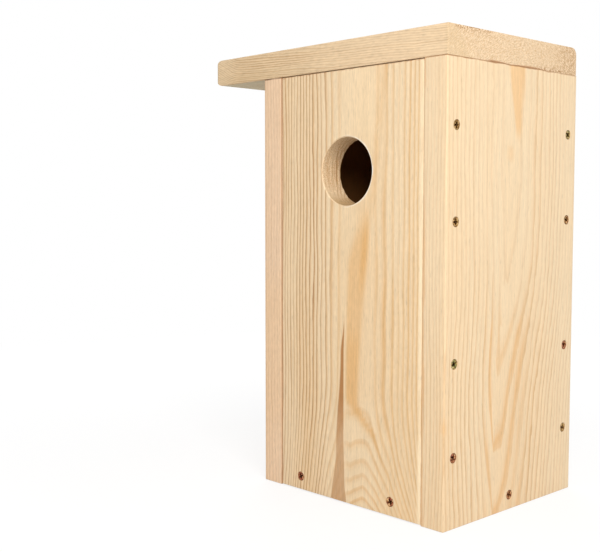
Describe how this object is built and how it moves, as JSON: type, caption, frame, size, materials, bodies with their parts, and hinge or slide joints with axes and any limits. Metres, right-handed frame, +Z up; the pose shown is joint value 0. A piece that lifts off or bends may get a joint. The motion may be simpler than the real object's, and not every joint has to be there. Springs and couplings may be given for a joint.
{
  "type": "squirrel house",
  "caption": "Wooden squirrel nest house of thick screwed boards with a round entrance hole near the top of one face and a flat roof that overhangs on one side.",
  "frame": {"origin": "middle of the base under the box, on the plane that the house stands on", "axes": "+Z up, the entrance faces -Y, the roof overhangs towards -X and is flush with the trunk face at +X"},
  "size_m": [0.281, 0.184, 0.396],
  "materials": {
    "planed_spruce": "planed, untreated softwood with straight and cathedral growth-ring grain",
    "yellow_zinc_screw": "steel wood screw with yellow passivated zinc plating, dull"
  },
  "bodies": {
    "root": {"entrance_panel": "planed_spruce", "entrance_panel_floor_screw_left": "yellow_zinc_screw", "entrance_panel_floor_screw_right": "yellow_zinc_screw", "floor_board": "planed_spruce", "left_wall": "planed_spruce", "left_wall_entrance_screw_1": "yellow_zinc_screw", "left_wall_entrance_screw_2": "yellow_zinc_screw", "left_wall_entrance_screw_3": "yellow_zinc_screw", "left_wall_entrance_screw_4": "yellow_zinc_screw", "left_wall_floor_screw": "yellow_zinc_screw", "left_wall_rear_screw_1": "yellow_zinc_screw", "left_wall_rear_screw_2": "yellow_zinc_screw", "left_wall_rear_screw_3": "yellow_zinc_screw", "left_wall_rear_screw_4": "yellow_zinc_screw", "rear_panel": "planed_spruce", "rear_panel_floor_screw_left": "yellow_zinc_screw", "rear_panel_floor_screw_right": "yellow_zinc_screw", "right_wall": "planed_spruce", "right_wall_entrance_screw_1": "yellow_zinc_screw", "right_wall_entrance_screw_2": "yellow_zinc_screw", "right_wall_entrance_screw_3": "yellow_zinc_screw", "right_wall_entrance_screw_4": "yellow_zinc_screw", "right_wall_floor_screw": "yellow_zinc_screw", "right_wall_rear_screw_1": "yellow_zinc_screw", "right_wall_rear_screw_2": "yellow_zinc_screw", "right_wall_rear_screw_3": "yellow_zinc_screw", "right_wall_rear_screw_4": "yellow_zinc_screw", "roof_board": "planed_spruce", "roof_left_wall_screw_front": "yellow_zinc_screw", "roof_left_wall_screw_rear": "yellow_zinc_screw", "roof_right_wall_screw_front": "yellow_zinc_screw", "roof_right_wall_screw_rear": "yellow_zinc_screw"}
  },
  "joints": []
}
